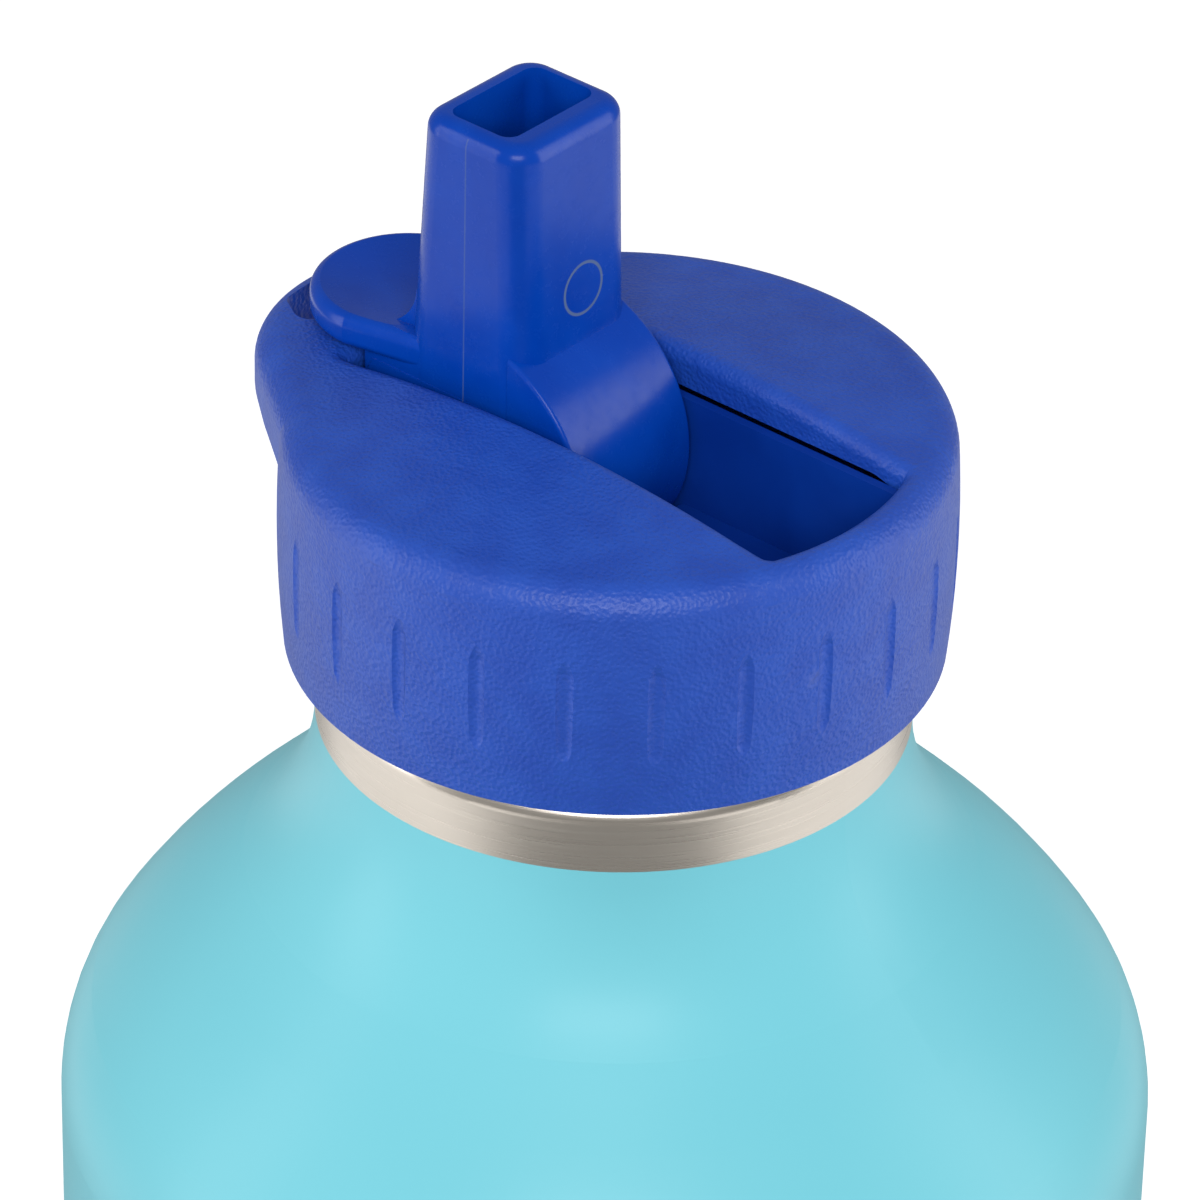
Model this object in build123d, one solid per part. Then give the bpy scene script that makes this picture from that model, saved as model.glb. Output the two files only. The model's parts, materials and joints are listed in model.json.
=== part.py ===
from build123d import *
import os
from math import asin, cos, radians, sin, sqrt

# Insulated water bottle with a screw lid and a flip-up spout.
# Millimetres. Z is the bottle's axis, z = 0 is the table and the spout folds towards +X.

# body
BODY_R = 45.0
NECK_Z = 200.0           # lower edge of the bare steel bead
BEAD_R = 24.05
OUTER_WALL = 0.8
INNER_WALL = 0.7
INNER_OFFSET = 2.35      # from the outside of the body to the outside of the inner vessel
FOOT_R = 3.0

# shoulder, followed downward from the bead: flare, cone, crown, corner
FLARE_R = 20.1
CROWN_R = 57.6
CORNER_R = 16.2
CONE_ANGLE = 0.782       # radians from vertical
CORNER_ANGLE = 0.582

# neck and screw thread; heights above NECK_Z from here on
BEAD_ROUND_Z = 4.3
NECK_R = 22.5
LIP_Z = 12.2
PITCH = 3.0
THREAD_DEPTH = 1.1
THREAD_FOOT = 1.5
THREAD_CREST = 0.6
NECK_THREAD_Z = 8.1
LID_THREAD_R = 24.0
LID_THREAD_ANGLE = 180.0

# cap shell
CAP_R = 27.03
CAP_RIM_R = 26.6
CAP_FOOT_R = 26.55
CAP_BOTTOM = 7.1
CAP_INNER_R = 25.0
DOME_Z = 29.4            # top of the shallow dome
DOME_SAG = 2.1           # fall from the middle out to the slot's far end
BLEND_START_R = 21.0     # the dome eases from here into the flat rim and carry loop
BLEND_R = 48.0
RIM_ROUND = 2.5
SKIN = 2.0
COLLAR_Z = 25.8          # lower edge of the thicker collar along the open part of the slot
COLLAR_X = -4.0
COLLAR_WALL = 1.2
SLOT_HALF = 8.3
SLOT_END_R = 23.5
SLOT_BACK_X = -21.8
SLOT_CORNER = 0.6
SLOT_ROUND = 1.2
GROOVES = 24
GROOVE_PHASE = 2.0
GROOVE_SWELL = 0.95
GROOVE_DEPTH = 0.3
GROOVE_HALF = 9.0
GROOVE_Z = 16.3

# carry loop
NOSE_X = -18.9
NOSE_R = 14.9
LOOP_SIDE_R = 26.3       # the loop's flanks are tangent to this circle
LOOP_TIP_THICK = 3.2
LOOP_ROOT_Z = 21.8

# lid core
DECK_BOTTOM = 13.6
DECK_TOP = 15.8
PLUG_R = 20.6
PLUG_WALL = 1.5
PLUG_BOTTOM = 5.0
GAP = 0.3                # between the slot in the shell and the core's trough wall
TROUGH_WALL = 0.8
TROUGH_END_R = 24.1      # the trough's far end is tucked under the shell's rim
TROUGH_TOP = 25.6

# spout
PIVOT_X = -10.0
PIVOT_Z = 21.6
DRUM_R = 11.75
DRUM_HALF = 6.75
STALK_HALF = 6.7
SEAT_R = 12.1
SEAT_WALL = 1.3
TRUNNION_R = 2.5
TRUNNION_END = 9.9
RUNNING = 0.05
ROOT_Z = 27.0
ROOT_X = -10.8
ROOT_LENGTH = 13.2
MOUTH_Z = 51.1
MOUTH_X = -10.45
MOUTH_LENGTH = 10.9
BORE_X = -10.7
PORT_R = 2.2
TAB_X = -22.3
TAB_R = 8.0
TAB_BOTTOM = 27.75
TAB_TOP = 30.6

# straw and stem
STEM_R = 2.7
STRAW_R = 3.5
STRAW_END_Z = 18.0       # above the table


def spun(*edges):
    """Turn a closed outline, drawn as radius and height, about the bottle's axis."""
    return revolve(Plane.XZ * make_face(Curve() + list(edges)), Axis.Z)


def ring(r_in, r_out, z0, z1):
    outer = Pos(0, 0, z0) * Cylinder(r_out, z1 - z0, align=(Align.CENTER, Align.CENTER, Align.MIN))
    if r_in <= 0:
        return outer
    return outer - Pos(0, 0, z0) * Cylinder(r_in, z1 - z0, align=(Align.CENTER, Align.CENTER, Align.MIN))


def pin_y(radius, half, x, z):
    """Cylinder along Y, centred on the slot."""
    return Pos(x, 0, z) * Rot(90, 0, 0) * Cylinder(radius, 2 * half)


def block(x0, x1, half, z0, z1):
    return Pos((x0 + x1) / 2, 0, (z0 + z1) / 2) * Box(x1 - x0, 2 * half, z1 - z0)


def shoulder(inset):
    """Three arcs and a line from the bead down to the body wall, moved inward by inset."""
    a = CONE_ANGLE
    b = CORNER_ANGLE
    rises = FLARE_R * (1 - cos(a)) + CROWN_R * (cos(b) - cos(a)) + CORNER_R * (1 - cos(b))
    cone = (BODY_R - BEAD_R - rises) / sin(a)

    def along(start, radius, turn_from, turn_to):
        across = abs(radius * (cos(turn_to) - cos(turn_from)))
        down = abs(radius * (sin(turn_to) - sin(turn_from)))
        return start[0] + across, start[1] - down

    p0 = (BEAD_R - inset, NECK_Z)
    flare = FLARE_R + inset
    p1 = along(p0, flare, 0, a)
    p2 = (p1[0] + cone * sin(a), p1[1] - cone * cos(a))
    crown = CROWN_R - inset
    p3 = along(p2, crown, a, b)
    corner = CORNER_R - inset
    p4 = along(p3, corner, b, 0)
    edges = [
        ThreePointArc(p0, along(p0, flare, 0, a / 2), p1),
        Line(p1, p2),
        ThreePointArc(p2, along(p2, crown, a, (a + b) / 2), p3),
        ThreePointArc(p3, along(p3, corner, b, b / 2), p4),
    ]
    return edges, p0, p4


def screw_thread(radius, depth, z_start, turns, start_angle):
    """Ridge on a wall of this radius: outward for a positive depth, inward for a negative one."""
    path = Helix(pitch=PITCH, height=PITCH * turns, radius=radius)
    root = -0.15 if depth > 0 else 0.15
    outline = Polyline(
        (root, -THREAD_FOOT / 2),
        (depth, -THREAD_CREST / 2),
        (depth, THREAD_CREST / 2),
        (root, THREAD_FOOT / 2),
        close=True,
    )
    section = Plane(origin=path @ 0, x_dir=(1, 0, 0), z_dir=path % 0) * make_face(outline)
    ridge = sweep(section, path=path, is_frenet=True)
    return Pos(0, 0, z_start) * Rot(0, 0, start_angle) * ridge


def slot_plan(inset, end_r):
    """Outline of the slot seen from above: straight sides and an end concentric with the cap."""
    half = SLOT_HALF - inset
    back = SLOT_BACK_X + inset
    corner_x = sqrt(end_r**2 - half**2)
    sides = Polyline((corner_x, half), (back, half), (back, -half), (corner_x, -half))
    end = ThreePointArc((corner_x, -half), (end_r, 0), (corner_x, half))
    face = make_face(sides + end)
    return fillet(face.vertices(), SLOT_CORNER)


# steel body
outside, out_top, out_low = shoulder(0)
inside, in_top, in_low = shoulder(OUTER_WALL)
turn_x = BODY_R - FOOT_R
foot_mid = FOOT_R * (1 - sin(radians(45)))
inner_foot = FOOT_R - OUTER_WALL
inner_mid = OUTER_WALL + inner_foot * (1 - sin(radians(45)))
outer_shell = spun(
    *outside,
    Line(out_low, (BODY_R, FOOT_R)),
    ThreePointArc((BODY_R, FOOT_R), (BODY_R - foot_mid, foot_mid), (turn_x, 0)),
    Polyline((turn_x, 0), (turn_x - 1.5, 0), (turn_x - 1.5, OUTER_WALL), (turn_x, OUTER_WALL)),
    ThreePointArc((turn_x, OUTER_WALL), (BODY_R - inner_mid, inner_mid), (BODY_R - OUTER_WALL, FOOT_R)),
    Line((BODY_R - OUTER_WALL, FOOT_R), in_low),
    *inside,
    Line(in_top, out_top),
)

# dished steel disc resting on the shell's turned-in foot, with the evacuation hole in the middle
outer_base = spun(
    Polyline(
        (1.5, 3.6), (6.0, 3.6), (9.0, 3.0), (36.0, 3.0), (38.5, 0.8), (42.0, 0.8), (42.0, 1.6),
        (38.9, 1.6), (36.4, 3.8), (9.2, 3.8), (6.2, 4.4), (1.5, 4.4), close=True,
    )
)
evacuation_seal = spun(
    Polyline((0, 2.9), (2.4, 2.9), (2.4, 3.6), (1.5, 3.6), (1.5, 4.2), (0, 4.2), close=True)
)
base_plate = spun(
    Polyline(
        (0, 1.6), (26.0, 1.6), (26.6, 1.9), (31.0, 1.9), (31.6, 1.6), (35.6, 1.6), (35.6, 2.8),
        (0, 2.8), close=True,
    )
)
getter_clip = Pos(18, 0, 4.1) * Box(14, 6, 0.6) + Pos(18, 0, 5.2) * (
    Cylinder(4.9, 1.7) - Cylinder(4.3, 1.7)
)
getter_pill = Pos(18, 0, 5.3) * Cylinder(4.3, 1.8)

vessel_out, vessel_top, vessel_low = shoulder(INNER_OFFSET)
vessel_in, vessel_in_top, vessel_in_low = shoulder(INNER_OFFSET + INNER_WALL)
vessel_r = BODY_R - INNER_OFFSET
bore_r = BEAD_R - INNER_OFFSET - INNER_WALL
mouth = NECK_Z + LIP_Z
inner_vessel = spun(
    Line((bore_r + INNER_WALL, mouth), vessel_top),
    *vessel_out,
    Polyline(vessel_low, (vessel_r, 9.5), (vessel_r - INNER_WALL, 9.5), vessel_in_low),
    *vessel_in,
    Polyline(vessel_in_top, (bore_r, mouth), (bore_r + INNER_WALL, mouth)),
)
disc_r = vessel_r - INNER_WALL
inner_base = spun(
    Line((0, 10.6), (30.0, 10.6)),
    ThreePointArc((30.0, 10.6), (disc_r - 3.2, 12.2), (disc_r - 0.7, 17.0)),
    Polyline((disc_r - 0.7, 17.0), (disc_r, 17.0), (disc_r, 12.0)),
    ThreePointArc((disc_r, 12.0), (disc_r - 3.0, 10.2), (30.0, 9.9)),
    Polyline((30.0, 9.9), (0, 9.9), (0, 10.6)),
)
foil_wrap = ring(vessel_r, vessel_r + 0.2, 14, 165)

# bare steel neck: convex bead, then the tube that carries the outside thread
bead_in = BEAD_R - OUTER_WALL
bead_round = BEAD_R - NECK_R
bead_mid = bead_round * sin(radians(45))
shell_mid = (bead_round - OUTER_WALL) * sin(radians(45))
round_z = NECK_Z + BEAD_ROUND_Z
neck_ring = spun(
    Line((BEAD_R, NECK_Z), (BEAD_R, round_z)),
    ThreePointArc((BEAD_R, round_z), (NECK_R + bead_mid, round_z + bead_mid), (NECK_R, round_z + bead_round)),
    Polyline(
        (NECK_R, round_z + bead_round), (NECK_R, mouth), (NECK_R - OUTER_WALL, mouth),
        (NECK_R - OUTER_WALL, round_z + bead_round - OUTER_WALL), (NECK_R, round_z + bead_round - OUTER_WALL),
    ),
    ThreePointArc(
        (NECK_R, round_z + bead_round - OUTER_WALL),
        (NECK_R + shell_mid, round_z + shell_mid),
        (bead_in, round_z),
    ),
    Polyline((bead_in, round_z), (bead_in, NECK_Z), (BEAD_R, NECK_Z)),
)
neck_ring += screw_thread(NECK_R, THREAD_DEPTH, NECK_Z + NECK_THREAD_Z, 1.0, 0)

# cap shell: barrelled side, domed top and the carry loop share one rounded rim
dome_r = (SLOT_END_R**2 + DOME_SAG**2) / (2 * DOME_SAG)
dome_centre = DOME_Z - dome_r


def dome_z(r):
    return dome_centre + sqrt(dome_r**2 - r**2)


slope = asin(BLEND_START_R / dome_r)
blend_z = dome_z(BLEND_START_R)
blend_end = BLEND_START_R + BLEND_R * sin(slope)
rim_z = blend_z - BLEND_R * (1 - cos(slope))
blend_mid = (blend_end - BLEND_R * sin(slope / 2), rim_z + BLEND_R * (1 - cos(slope / 2)))
lid_roof = spun(
    Line((0, 0), (0, DOME_Z)),
    ThreePointArc((0, DOME_Z), (11.0, dome_z(11.0)), (BLEND_START_R, blend_z)),
    ThreePointArc((BLEND_START_R, blend_z), blend_mid, (blend_end, rim_z)),
    Polyline((blend_end, rim_z), (40.0, rim_z), (40.0, 0), (0, 0)),
)
barrel = spun(
    Polyline((CAP_RIM_R, 40.0), (0, 40.0), (0, CAP_BOTTOM), (CAP_FOOT_R, CAP_BOTTOM)),
    ThreePointArc((CAP_FOOT_R, CAP_BOTTOM), (CAP_R, 16.6), (CAP_RIM_R, rim_z)),
    Line((CAP_RIM_R, rim_z), (CAP_RIM_R, 40.0)),
)
tangent = (LOOP_SIDE_R - NOSE_R) / NOSE_X
flank_x = LOOP_SIDE_R * tangent
flank_y = LOOP_SIDE_R * sqrt(1 - tangent**2)
nose_x = NOSE_X + NOSE_R * tangent
nose_y = NOSE_R * sqrt(1 - tangent**2)
loop_plan = make_face(
    Polyline((nose_x, nose_y), (flank_x, flank_y), (0, flank_y), (0, -flank_y), (flank_x, -flank_y),
             (nose_x, -nose_y))
    + ThreePointArc((nose_x, -nose_y), (NOSE_X - NOSE_R, 0), (nose_x, nose_y))
)
loop_blank = extrude(loop_plan, 40.0)
tip_x = NOSE_X - NOSE_R
underside = make_face(
    Polyline((0, LOOP_ROOT_Z), (-CAP_R + 1.5, LOOP_ROOT_Z), (tip_x - 1, rim_z - LOOP_TIP_THICK),
             (tip_x - 1, 40.0), (0, 40.0), close=True)
)
loop_wedge = extrude(Plane.XZ * underside, 30.0, both=True)
cap_blank = (barrel + (loop_blank & loop_wedge)) & lid_roof
rim_edges = [
    e for e in cap_blank.edges()
    if e.length > 3
    and min((e @ t).Z for t in (0.0, 0.5, 1.0)) > rim_z - 0.5
    and min((e @ t).X ** 2 + (e @ t).Y ** 2 for t in (0.0, 0.5, 1.0)) > (CAP_RIM_R - 0.05) ** 2
    and abs(sqrt((e @ 0.5).X ** 2 + (e @ 0.5).Y ** 2) - blend_end) > 0.1
]
cap_blank = fillet(rim_edges, RIM_ROUND)
hollow = spun(
    Line((0, 0), (0, DOME_Z - SKIN)),
    ThreePointArc((0, DOME_Z - SKIN), (11.0, dome_z(11.0) - SKIN), (BLEND_START_R, blend_z - SKIN)),
    Polyline(
        (BLEND_START_R, blend_z - SKIN), (23.0, rim_z - SKIN), (CAP_INNER_R, rim_z - SKIN - 2.2),
        (CAP_INNER_R, 0), (0, 0),
    ),
)
collar = block(COLLAR_X, 30.0, SLOT_HALF + COLLAR_WALL, COLLAR_Z, 40.0)
cap_shell = cap_blank - (hollow - collar)
cap_shell -= extrude(slot_plan(0, SLOT_END_R), 40.0)
slot_edges = [
    e for e in cap_shell.edges()
    if min((e @ t).Z for t in (0.0, 0.5, 1.0)) > rim_z - 0.6
    and max(abs((e @ t).Y) for t in (0.0, 0.5, 1.0)) < SLOT_HALF + 0.05
    and max((e @ t).X for t in (0.0, 0.5, 1.0)) < SLOT_END_R + 0.05
    and min((e @ t).X for t in (0.0, 0.5, 1.0)) > SLOT_BACK_X - 0.05
]
cap_shell = fillet(slot_edges, SLOT_ROUND)

# hand grip: shallow flutes with tapered ends, all round except under the loop
flute = spun(
    Polyline((0, -GROOVE_HALF), (GROOVE_SWELL, -3.6), (GROOVE_SWELL, 3.6), (0, GROOVE_HALF), close=True)
)
flute = Pos(CAP_R + GROOVE_SWELL - GROOVE_DEPTH, 0, GROOVE_Z) * flute
for k in range(GROOVES):
    angle = k * 360.0 / GROOVES
    if abs(angle - 180) > 50:
        cap_shell -= Rot(0, 0, angle + GROOVE_PHASE) * flute

# hole through the loop, and the witness nub on the skirt's lower edge
hole_plan = make_face(Polyline((-27.2, 7.3), (-31.7, 4.5), (-31.7, -4.5), (-27.2, -7.3), close=True))
cap_shell -= extrude(fillet(hole_plan.vertices(), 1.5), 40.0)
cap_shell += Rot(0, 0, 17.5) * Pos(CAP_FOOT_R - 0.9, 0, CAP_BOTTOM + 0.1) * Sphere(0.6)

# smooth lid core: thread skirt, deck, neck plug, trough and drum seat
core_r = CAP_INNER_R - 0.05
core = ring(LID_THREAD_R, core_r, CAP_BOTTOM + 0.2, DECK_TOP)
core += ring(0, core_r, DECK_BOTTOM, DECK_TOP)
core += ring(PLUG_R - PLUG_WALL, PLUG_R, PLUG_BOTTOM, DECK_BOTTOM)
trough_blank = slot_plan(GAP, TROUGH_END_R + TROUGH_WALL)
core += Pos(0, 0, DECK_BOTTOM) * extrude(trough_blank, TROUGH_TOP - DECK_BOTTOM)
seat = pin_y(SEAT_R + SEAT_WALL, SLOT_HALF - GAP, PIVOT_X, PIVOT_Z)
core += seat & block(-CAP_INNER_R, 20, 20, 0, rim_z - SKIN - 1.9)
for side in (-1, 1):
    core += Pos(PIVOT_X, side * 9.1, PIVOT_Z - 3.3) * Box(9.2, 2.8, 6.6)
    core += Pos(PIVOT_X, side * 9.1, PIVOT_Z) * Rot(90, 0, 0) * Cylinder(4.6, 2.8)
core += ring(0, STEM_R + 0.6, 4.5, 9.0).moved(Pos(PIVOT_X, 0, 0))
core += ring(0, STEM_R, 1.0, 4.5).moved(Pos(PIVOT_X, 0, 0))
core &= ring(0, core_r, 0, DOME_Z)
core &= hollow + extrude(slot_plan(GAP, SLOT_END_R - GAP), DOME_Z)
core -= ring(PLUG_R, LID_THREAD_R, 0, DECK_BOTTOM)
core -= block(-30, -19.5, 20, rim_z - SKIN - 2.2, 40)
core -= Pos(0, 0, DECK_TOP) * extrude(slot_plan(GAP + TROUGH_WALL, TROUGH_END_R), 20)
core -= pin_y(SEAT_R, SLOT_HALF - GAP - TROUGH_WALL, PIVOT_X, PIVOT_Z)
core -= pin_y(TRUNNION_R + RUNNING, 12, PIVOT_X, PIVOT_Z)
core -= ring(0, 4.8, 8.6, 20).moved(Pos(PIVOT_X, 0, 0))
core -= ring(0, PORT_R - 0.4, 0, 9.0).moved(Pos(PIVOT_X, 0, 0))
core -= ring(0, 1.8, 12, 17).moved(Pos(10.5, 0, 0))
lid_thread_z = NECK_THREAD_Z - PITCH / 2 + PITCH * LID_THREAD_ANGLE / 360
lid_core = core + screw_thread(LID_THREAD_R, -THREAD_DEPTH, lid_thread_z, 1.0, LID_THREAD_ANGLE)

# soft parts
lid_gasket = ring(PLUG_R + 0.2, NECK_R + 0.2, LIP_Z + 0.3, DECK_BOTTOM - 0.1)
seat_seal = ring(PORT_R + 0.3, 4.8, 8.6, 12).moved(Pos(PIVOT_X, 0, 0))
seat_seal -= pin_y(DRUM_R + 0.2, 12, PIVOT_X, PIVOT_Z)
vent_valve = spun(
    Polyline((0.4, 9.6), (0.9, 9.6), (1.7, 12.4), (3.2, 12.4), (3.2, 13.6), (1.8, 13.6), (1.8, 15.8),
             (1.0, 15.8), (1.0, 12.1), (0.4, 10.5), close=True)
).moved(Pos(10.5, 0, 0))
straw_top = 4.5
straw = ring(STEM_R, STRAW_R, STRAW_END_Z - NECK_Z, straw_top).moved(Pos(PIVOT_X, 0, 0))
straw -= Pos(PIVOT_X, 0, STRAW_END_Z - NECK_Z) * Rot(0, 30, 0) * Box(30, 30, 4.0)

# spout: drum, mouthpiece and thumb tab in one moulding, turning on two trunnions
drum = pin_y(DRUM_R, DRUM_HALF, PIVOT_X, PIVOT_Z)
drum = fillet(drum.edges().filter_by(GeomType.CIRCLE), 0.35)
drum -= block(-30.0, -6.0, 10.0, ROOT_Z, 40.0)
root_section = RectangleRounded(ROOT_LENGTH, 2 * STALK_HALF, 2.6)
mouth_section = RectangleRounded(MOUTH_LENGTH, 2 * STALK_HALF, 2.6)
stalk = loft([Pos(ROOT_X, 0, ROOT_Z) * root_section, Pos(MOUTH_X, 0, MOUTH_Z) * mouth_section])
stalk = fillet(stalk.faces().sort_by(Axis.Z)[-1].outer_wire().edges(), 1.5)
stalk += Pos(ROOT_X, 0, PIVOT_Z) * extrude(root_section, ROOT_Z - PIVOT_Z)
tab_plan = make_face(
    Polyline((TAB_X, TAB_R), (-14.0, 6.4), (-10.0, 6.4), (-10.0, -6.4), (-14.0, -6.4), (TAB_X, -TAB_R))
    + ThreePointArc((TAB_X, -TAB_R), (TAB_X - TAB_R, 0), (TAB_X, TAB_R))
)
tab = Pos(0, 0, TAB_BOTTOM) * extrude(tab_plan, TAB_TOP - TAB_BOTTOM)
tab = fillet([e for e in tab.edges() if e.center().Z > TAB_TOP - 0.1 and e.center().X < -14.1], 1.1)
tab = fillet([e for e in tab.edges() if e.center().Z < TAB_BOTTOM + 0.1 and e.center().X < -14.1], 0.8)
tab -= Pos(TAB_X, 0, TAB_TOP + 44.4) * Sphere(45.0)
arm = block(-21.3, -12.0, STALK_HALF - 0.05, PIVOT_Z + 2.8, TAB_BOTTOM + 1.0)
arm = fillet([e for e in arm.edges().filter_by(Axis.Z) if e.center().X < -20], 0.35)
web = make_face(
    Polyline(
        (-20.4, TAB_TOP - 0.75), (-20.4, TAB_TOP - 1.2), (-14.0, TAB_TOP - 1.2), (-14.0, TAB_TOP + 3.4),
        (-16.9, TAB_TOP + 3.4),
    )
    + ThreePointArc((-16.9, TAB_TOP + 3.4), (-17.9, TAB_TOP + 0.8), (-20.4, TAB_TOP - 0.75))
)
web = extrude(Plane.XZ * web, 5.2, both=True)
spout = drum + stalk + tab + arm + web
for side in (-1, 1):
    half = (TRUNNION_END - DRUM_HALF) / 2
    trunnion = Rot(90, 0, 0) * Cylinder(TRUNNION_R, 2 * half + 0.5)
    spout += Pos(PIVOT_X, side * (DRUM_HALF + half - 0.25), PIVOT_Z) * trunnion
bore = extrude(RectangleRounded(6.6, 10.3, 1.2), MOUTH_Z - PIVOT_Z)
spout -= Pos(BORE_X, 0, PIVOT_Z + 2) * bore
spout -= ring(0, PORT_R, 5, PIVOT_Z + 3).moved(Pos(PIVOT_X, 0, 0))

EXPORTS = {
    "outer_shell": outer_shell,
    "outer_base": outer_base,
    "evacuation_seal": evacuation_seal,
    "base_plate": base_plate,
    "getter_clip": getter_clip,
    "getter_pill": getter_pill,
    "inner_vessel": inner_vessel,
    "inner_base": inner_base,
    "foil_wrap": foil_wrap,
    "neck_ring": neck_ring,
}
LID = {
    "cap_shell": cap_shell,
    "lid_core": lid_core,
    "lid_gasket": lid_gasket,
    "seat_seal": seat_seal,
    "vent_valve": vent_valve,
    "straw": straw,
    "spout": spout,
}
for node, shape in LID.items():
    EXPORTS[node] = Pos(0, 0, NECK_Z) * shape

os.makedirs("parts", exist_ok=True)
for node, shape in EXPORTS.items():
    export_step(shape, "parts/" + node + ".step")
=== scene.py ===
import json
import math

import bpy
from mathutils import Matrix, Vector

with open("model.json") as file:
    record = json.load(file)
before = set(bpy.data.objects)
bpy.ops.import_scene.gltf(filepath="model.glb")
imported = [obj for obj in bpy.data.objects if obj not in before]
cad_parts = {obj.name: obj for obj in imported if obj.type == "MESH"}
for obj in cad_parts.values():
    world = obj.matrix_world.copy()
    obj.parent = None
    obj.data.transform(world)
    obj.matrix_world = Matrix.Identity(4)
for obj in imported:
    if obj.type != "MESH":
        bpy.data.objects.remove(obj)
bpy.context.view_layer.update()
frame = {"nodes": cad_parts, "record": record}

MM = 0.001
NECK_Z = 200.0


def ink(hex_code):
    """An sRGB hex colour as linear RGBA."""
    channels = [int(hex_code[i:i + 2], 16) / 255 for i in (1, 3, 5)]
    linear = [c / 12.92 if c <= 0.04045 else ((c + 0.055) / 1.055) ** 2.4 for c in channels]
    return (*linear, 1.0)


def add(tree, kind, settings=None, feeds=None):
    """Adds one node: settings are its properties and unlinked inputs, feeds are the outputs linked into it."""
    new = tree.nodes.new(kind)
    for key, value in (settings or {}).items():
        if isinstance(key, int) or key in new.inputs:
            new.inputs[key].default_value = value
        else:
            setattr(new, key, value)
    for key, source in (feeds or {}).items():
        tree.links.new(source, new.inputs[key])
    return new


def finish_material(name, **surface):
    """A material with its shader's plain values set on the shader itself."""
    mat = bpy.data.materials.new(name)
    mat.use_nodes = True
    tree = mat.node_tree
    tree.nodes.clear()
    shader = tree.nodes.new("ShaderNodeBsdfPrincipled")
    for key, value in surface.items():
        shader.inputs[key.replace("_", " ")].default_value = value
    out = tree.nodes.new("ShaderNodeOutputMaterial")
    tree.links.new(shader.outputs["BSDF"], out.inputs["Surface"])
    place = tree.nodes.new("ShaderNodeTexCoord")
    return mat, tree, shader, place.outputs["Object"]


def pebbled_blue():
    """Injection-moulded polypropylene from a spark-eroded mould: a fine pebble that breaks the shine up."""
    mat, tree, shader, place = finish_material("pebbled blue polypropylene", IOR=1.49)
    # grains of about 0.3 mm, with a slower swell of a few millimetres under them
    grain = add(tree, "ShaderNodeTexVoronoi", {"Scale": 3000.0, "feature": "SMOOTH_F1", "Smoothness": 0.8}, {"Vector": place})
    fine = add(tree, "ShaderNodeTexNoise", {"Scale": 5200.0, "Detail": 2.0}, {"Vector": place})
    swell = add(tree, "ShaderNodeTexNoise", {"Scale": 260.0, "Detail": 2.0}, {"Vector": place})
    height = add(tree, "ShaderNodeMath", {"operation": "MULTIPLY_ADD", 1: 0.35}, {0: fine.outputs["Fac"], 2: grain.outputs["Distance"]})
    low = add(tree, "ShaderNodeMath", {"operation": "MULTIPLY_ADD", 1: 0.5}, {0: swell.outputs["Fac"], 2: height.outputs["Value"]})
    bump = add(tree, "ShaderNodeBump", {"Strength": 0.55, "Distance": 0.00016}, {"Height": low.outputs["Value"]})
    tint = add(tree, "ShaderNodeValToRGB", {}, {"Fac": swell.outputs["Fac"]})
    tint.color_ramp.elements[0].position = 0.35
    tint.color_ramp.elements[0].color = ink("#1546AE")
    tint.color_ramp.elements[1].position = 0.65
    tint.color_ramp.elements[1].color = ink("#1A4DB6")
    # worn peaks of the grain shine a little more than its valleys
    shine = add(tree, "ShaderNodeMapRange", {"To Min": 0.52, "To Max": 0.40}, {"Value": grain.outputs["Distance"]})
    tree.links.new(tint.outputs["Color"], shader.inputs["Base Color"])
    tree.links.new(shine.outputs["Result"], shader.inputs["Roughness"])
    tree.links.new(bump.outputs["Normal"], shader.inputs["Normal"])
    return mat


def polished_blue(name, deep, light, rough):
    """Polypropylene from a polished mould: smooth and glossy, with faint flow marks and hand scuffs."""
    mat, tree, shader, place = finish_material(name, IOR=1.49, Specular_IOR_Level=0.18)
    flow = add(tree, "ShaderNodeTexNoise", {"Scale": 120.0, "Detail": 3.0, "Distortion": 0.6}, {"Vector": place})
    scuff = add(tree, "ShaderNodeTexNoise", {"Scale": 900.0, "Detail": 5.0, "Roughness": 0.7}, {"Vector": place})
    tint = add(tree, "ShaderNodeValToRGB", {}, {"Fac": flow.outputs["Fac"]})
    tint.color_ramp.elements[0].position = 0.35
    tint.color_ramp.elements[0].color = ink(deep)
    tint.color_ramp.elements[1].position = 0.7
    tint.color_ramp.elements[1].color = ink(light)
    shine = add(tree, "ShaderNodeMapRange", {"From Min": 0.3, "From Max": 0.75, "To Min": rough, "To Max": rough + 0.12}, {"Value": scuff.outputs["Fac"]})
    bump = add(tree, "ShaderNodeBump", {"Strength": 0.12, "Distance": 0.0001}, {"Height": flow.outputs["Fac"]})
    tree.links.new(tint.outputs["Color"], shader.inputs["Base Color"])
    tree.links.new(shine.outputs["Result"], shader.inputs["Roughness"])
    tree.links.new(bump.outputs["Normal"], shader.inputs["Normal"])
    return mat


def in_mm(tree, source, centre):
    """Distance in millimetres from a place given in millimetres."""
    away = add(tree, "ShaderNodeMath", {"operation": "MULTIPLY_ADD", 1: 1000.0, 2: -centre}, {0: source})
    return away.outputs["Value"]


def near_zero(tree, source, half_width):
    """1 where the source is within half_width of zero, easing to 0 just outside it."""
    size = add(tree, "ShaderNodeMath", {"operation": "ABSOLUTE"}, {0: source})
    soft = add(tree, "ShaderNodeMapRange", {"From Min": half_width, "From Max": half_width * 1.6, "To Min": 1.0, "To Max": 0.0}, {"Value": size.outputs["Value"]})
    return soft.outputs["Result"]


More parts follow.
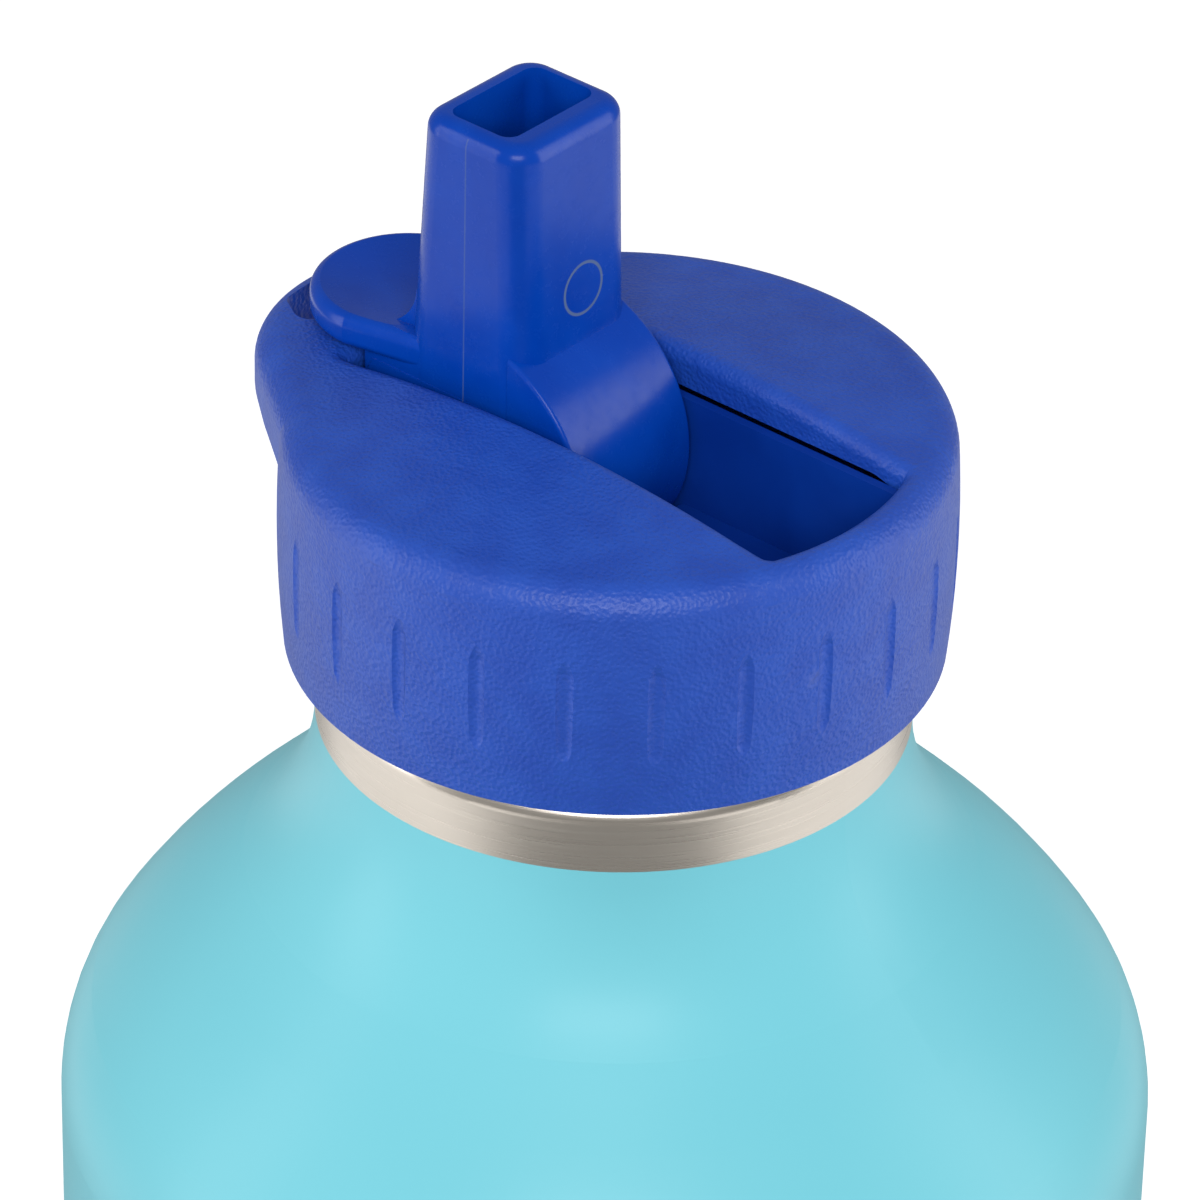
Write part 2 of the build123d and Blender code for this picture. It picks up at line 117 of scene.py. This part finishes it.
def moulded_spout():
    """The polished blue of the spout with its gate ring low on the front and the mould's parting line."""
    mat = polished_blue("polished blue polypropylene", "#003CA6", "#0444B0", 0.20)
    tree = mat.node_tree
    shader = next(n for n in tree.nodes if n.type == "BSDF_PRINCIPLED")
    place = next(n for n in tree.nodes if n.type == "TEX_COORD").outputs["Object"]
    axes = add(tree, "ShaderNodeSeparateXYZ", {}, {"Vector": place})
    x, y, z = axes.outputs["X"], axes.outputs["Y"], axes.outputs["Z"]
    # ring 4.6 mm across, 36.6 mm above the neck, on the face towards +X
    across = add(tree, "ShaderNodeMath", {"operation": "POWER", 1: 2.0}, {0: in_mm(tree, y, 0.5)})
    high = add(tree, "ShaderNodeMath", {"operation": "POWER", 1: 2.0}, {0: in_mm(tree, z, NECK_Z + 36.6)})
    both = add(tree, "ShaderNodeMath", {"operation": "ADD"}, {0: across.outputs["Value"], 1: high.outputs["Value"]})
    radius = add(tree, "ShaderNodeMath", {"operation": "SQRT"}, {0: both.outputs["Value"]})
    rim = add(tree, "ShaderNodeMath", {"operation": "SUBTRACT", 1: 2.2}, {0: radius.outputs["Value"]})
    front = add(tree, "ShaderNodeMath", {"operation": "GREATER_THAN", 1: -5.9}, {0: in_mm(tree, x, 0.0)})
    ring = add(tree, "ShaderNodeMath", {"operation": "MULTIPLY"}, {0: near_zero(tree, rim.outputs["Value"], 0.10), 1: front.outputs["Value"]})
    # parting line 0.1 mm wide down the middle of the face towards -Y
    flank = add(tree, "ShaderNodeMath", {"operation": "LESS_THAN", 1: -6.4}, {0: in_mm(tree, y, 0.0)})
    line = add(tree, "ShaderNodeMath", {"operation": "MULTIPLY"}, {0: near_zero(tree, in_mm(tree, x, -10.6), 0.05), 1: flank.outputs["Value"]})
    marks = add(tree, "ShaderNodeMath", {"operation": "MULTIPLY_ADD", 1: 0.45}, {0: line.outputs["Value"], 2: ring.outputs["Value"]})
    colour = shader.inputs["Base Color"].links[0].from_socket
    tint = add(tree, "ShaderNodeMix", {"data_type": "RGBA"})
    tree.links.new(marks.outputs["Value"], tint.inputs[0])
    tree.links.new(colour, tint.inputs[6])
    tint.inputs[7].default_value = ink("#5A6E96")
    tree.links.new(tint.outputs[2], shader.inputs["Base Color"])
    return mat


def turned_steel(name, tone, rough, spread):
    """Stainless steel brushed round its axis: fine hoops that stretch a reflection up and down."""
    mat, tree, shader, place = finish_material(name, Metallic=1.0, Anisotropic=spread)
    # hoops about 0.15 mm apart: the pattern is squeezed along the axis and nearly even around it
    squeeze = add(tree, "ShaderNodeMapping", {"Scale": (40.0, 40.0, 6500.0)}, {"Vector": place})
    hoops = add(tree, "ShaderNodeTexNoise", {"Scale": 1.0, "Detail": 4.0, "Roughness": 0.65}, {"Vector": squeeze.outputs["Vector"]})
    stain = add(tree, "ShaderNodeTexNoise", {"Scale": 90.0, "Detail": 3.0}, {"Vector": place})
    shine = add(tree, "ShaderNodeMapRange", {"From Min": 0.3, "From Max": 0.7, "To Min": rough - 0.06, "To Max": rough + 0.08}, {"Value": hoops.outputs["Fac"]})
    tint = add(tree, "ShaderNodeMix", {"data_type": "RGBA"})
    tree.links.new(stain.outputs["Fac"], tint.inputs[0])
    tint.inputs[6].default_value = ink(tone)
    tint.inputs[7].default_value = [c * 0.86 for c in ink(tone)[:3]] + [1.0]
    bump = add(tree, "ShaderNodeBump", {"Strength": 0.22, "Distance": 0.00003}, {"Height": hoops.outputs["Fac"]})
    around = add(tree, "ShaderNodeTangent", {"direction_type": "RADIAL", "axis": "Z"})
    tree.links.new(tint.outputs[2], shader.inputs["Base Color"])
    tree.links.new(shine.outputs["Result"], shader.inputs["Roughness"])
    tree.links.new(bump.outputs["Normal"], shader.inputs["Normal"])
    tree.links.new(around.outputs["Tangent"], shader.inputs["Tangent"])
    return mat


def aqua_paint():
    """Baked satin powder coat: a faint orange peel under a soft sheen."""
    mat, tree, shader, place = finish_material("satin aqua powder coat", IOR=1.5, Specular_IOR_Level=0.16, Coat_Weight=0.05, Coat_Roughness=0.25)
    # orange peel of about 1.2 mm and a dust of about 0.2 mm
    peel = add(tree, "ShaderNodeTexNoise", {"Scale": 850.0, "Detail": 2.0}, {"Vector": place})
    dust = add(tree, "ShaderNodeTexNoise", {"Scale": 5000.0, "Detail": 2.0}, {"Vector": place})
    height = add(tree, "ShaderNodeMath", {"operation": "MULTIPLY_ADD", 1: 0.3}, {0: dust.outputs["Fac"], 2: peel.outputs["Fac"]})
    bump = add(tree, "ShaderNodeBump", {"Strength": 0.10, "Distance": 0.00008}, {"Height": height.outputs["Value"]})
    cloud = add(tree, "ShaderNodeTexNoise", {"Scale": 25.0, "Detail": 2.0}, {"Vector": place})
    tint = add(tree, "ShaderNodeValToRGB", {}, {"Fac": cloud.outputs["Fac"]})
    tint.color_ramp.elements[0].position = 0.3
    tint.color_ramp.elements[0].color = ink("#76CAD8")
    tint.color_ramp.elements[1].position = 0.7
    tint.color_ramp.elements[1].color = ink("#7CCFDC")
    shine = add(tree, "ShaderNodeMapRange", {"To Min": 0.36, "To Max": 0.44}, {"Value": dust.outputs["Fac"]})
    tree.links.new(tint.outputs["Color"], shader.inputs["Base Color"])
    tree.links.new(shine.outputs["Result"], shader.inputs["Roughness"])
    tree.links.new(bump.outputs["Normal"], shader.inputs["Normal"])
    return mat


def plain_with_grain(name, dark, light, scale, rough, strength, **surface):
    """A cloudy colour and a matching fine unevenness, for the parts that are mostly hidden."""
    mat, tree, shader, place = finish_material(name, **surface)
    cloud = add(tree, "ShaderNodeTexNoise", {"Scale": scale, "Detail": 4.0}, {"Vector": place})
    tint = add(tree, "ShaderNodeValToRGB", {}, {"Fac": cloud.outputs["Fac"]})
    tint.color_ramp.elements[0].position = 0.35
    tint.color_ramp.elements[0].color = ink(dark)
    tint.color_ramp.elements[1].position = 0.65
    tint.color_ramp.elements[1].color = ink(light)
    shine = add(tree, "ShaderNodeMapRange", {"To Min": rough - 0.05, "To Max": rough + 0.08}, {"Value": cloud.outputs["Fac"]})
    bump = add(tree, "ShaderNodeBump", {"Strength": strength, "Distance": 0.0001}, {"Height": cloud.outputs["Fac"]})
    tree.links.new(tint.outputs["Color"], shader.inputs["Base Color"])
    tree.links.new(shine.outputs["Result"], shader.inputs["Roughness"])
    tree.links.new(bump.outputs["Normal"], shader.inputs["Normal"])
    return mat


FINISHES = {
    "body_paint": aqua_paint(),
    "neck_steel": turned_steel("brushed stainless neck", "#C4BCB2", 0.30, 0.55),
    "inner_steel": turned_steel("electropolished stainless vessel", "#C9C6C1", 0.24, 0.35),
    "base_steel": turned_steel("spun stainless base", "#BDB8B0", 0.34, 0.45),
    "wrap_foil": plain_with_grain("crinkled copper-toned foil", "#C9A98C", "#DDC4AC", 400.0, 0.22, 0.9, Metallic=1.0),
    "getter_metal": plain_with_grain("sintered getter metal", "#3B3937", "#57534F", 3000.0, 0.7, 0.6, Metallic=1.0),
    "clip_steel": plain_with_grain("stamped spring steel", "#8E8A84", "#A5A19A", 900.0, 0.38, 0.2, Metallic=1.0),
    "seal_glass": plain_with_grain("dark solder glass", "#1C211F", "#2A302D", 700.0, 0.16, 0.2, IOR=1.6),
    "cap_blue": pebbled_blue(),
    "core_blue": polished_blue("satin blue polypropylene", "#063492", "#0A3B9E", 0.30),
    "spout_blue": moulded_spout(),
    "seal_silicone": plain_with_grain("milky silicone rubber", "#C9CDCB", "#D9DCDA", 500.0, 0.45, 0.15, IOR=1.41, Subsurface_Weight=0.3, Subsurface_Scale=0.002),
    "valve_silicone": plain_with_grain("clear-milk silicone rubber", "#D5D9DA", "#E4E7E7", 500.0, 0.40, 0.15, IOR=1.41, Subsurface_Weight=0.4, Subsurface_Scale=0.002),
    "straw_clear": plain_with_grain("frosted clear straw", "#DDE3E6", "#EDF1F2", 300.0, 0.28, 0.1, IOR=1.49, Transmission_Weight=0.75),
}
slot_of = {part["node"]: part["material_slot"] for part in frame["record"]["subparts"]}
for node, obj in frame["nodes"].items():
    obj.data.materials.clear()
    obj.data.materials.append(FINISHES[slot_of[node]])

# studio: pale floor, white surround, two tall soft boxes and one overhead
bpy.ops.object.select_all(action="DESELECT")
bpy.ops.mesh.primitive_plane_add(size=6.0, location=(0, 0, -0.0002))
floor = bpy.context.object
floor.name = "studio floor"
pale, tree, shader, place = finish_material("pale matt floor", Roughness=0.9, Base_Color=ink("#F6F6F6"), Emission_Color=(1, 1, 1, 1), Emission_Strength=0.45)
floor.data.materials.append(pale)
# the floor is seen white but throws no light back, so that the shoulder keeps its darker rim
floor.visible_diffuse = False
floor.visible_glossy = False

world = bpy.data.worlds.new("white studio")
bpy.context.scene.world = world
world.use_nodes = True
world.node_tree.nodes["Background"].inputs["Color"].default_value = (1, 1, 1, 1)
world.node_tree.nodes["Background"].inputs["Strength"].default_value = 0.38

AZ = math.radians(40.0)
RIGHT = Vector((math.cos(AZ), math.sin(AZ), 0))
AWAY = Vector((-math.sin(AZ), math.cos(AZ), 0))


def soft_box(name, right, away, up, aim, size, power):
    light = bpy.data.lights.new(name, "AREA")
    light.shape = "RECTANGLE"
    light.size, light.size_y = size
    light.energy = power
    obj = bpy.data.objects.new(name, light)
    bpy.context.collection.objects.link(obj)
    obj.location = RIGHT * right + AWAY * away + Vector((0, 0, up))
    obj.rotation_euler = (Vector(aim) - obj.location).to_track_quat("-Z", "Y").to_euler()
    return obj


soft_box("left soft box", -0.85, -0.10, 0.35, (0, 0, 0.2), (0.25, 0.9), 3.2)
soft_box("right soft box", 0.85, 0.0, 0.35, (0, 0, 0.2), (0.25, 0.9), 3.2)
soft_box("front top soft box", 0.0, -0.95, 0.85, (0, 0, 0.2), (0.7, 0.4), 8.5)

# two pale cards lying beside the bottle, seen only as the bright arcs in the steel neck
glow, tree, shader, place = finish_material("pale reflector card", Roughness=1.0, Emission_Color=(1, 1, 1, 1), Emission_Strength=0.75)
for way, name in ((-1, "left reflector card"), (1, "right reflector card")):
    bpy.ops.object.select_all(action="DESELECT")
    bpy.ops.mesh.primitive_plane_add(size=1.0, location=(0, 0, 0))
    card = bpy.context.object
    card.name = name
    card.scale = (0.42, 1.2, 1.0)
    card.location = RIGHT * (way * 0.43) + Vector((0, 0, 0.0005))
    card.rotation_euler = (0, 0, AZ)
    card.visible_camera = False
    card.visible_shadow = False
    card.visible_diffuse = False
    card.data.materials.append(glow)

# camera: looking down on the lid from the front right, with a long lens
DISTANCE = 536.3 * MM
HEIGHT = (NECK_Z + 355.4) * MM
PITCH = 0.57257
ROLL = 0.022184
YAW = -0.0023875
forward = RIGHT * (math.sin(YAW) * math.cos(PITCH)) + AWAY * (math.cos(YAW) * math.cos(PITCH)) + Vector((0, 0, -math.sin(PITCH)))
side = RIGHT * math.cos(YAW) - AWAY * math.sin(YAW)
up = side.cross(forward)
x_axis = side * math.cos(ROLL) + up * math.sin(ROLL)
y_axis = up * math.cos(ROLL) - side * math.sin(ROLL)
lens = bpy.data.cameras.new("camera")
lens.lens = 240.0
lens.sensor_width = 36.0
camera = bpy.data.objects.new("camera", lens)
bpy.context.collection.objects.link(camera)
turn = Matrix((x_axis, y_axis, -forward)).transposed().to_4x4()
camera.matrix_world = Matrix.Translation(AWAY * -DISTANCE + Vector((0, 0, HEIGHT))) @ turn
bpy.context.scene.camera = camera
bpy.context.scene.view_settings.view_transform = "Standard"

bpy.context.view_layer.update()
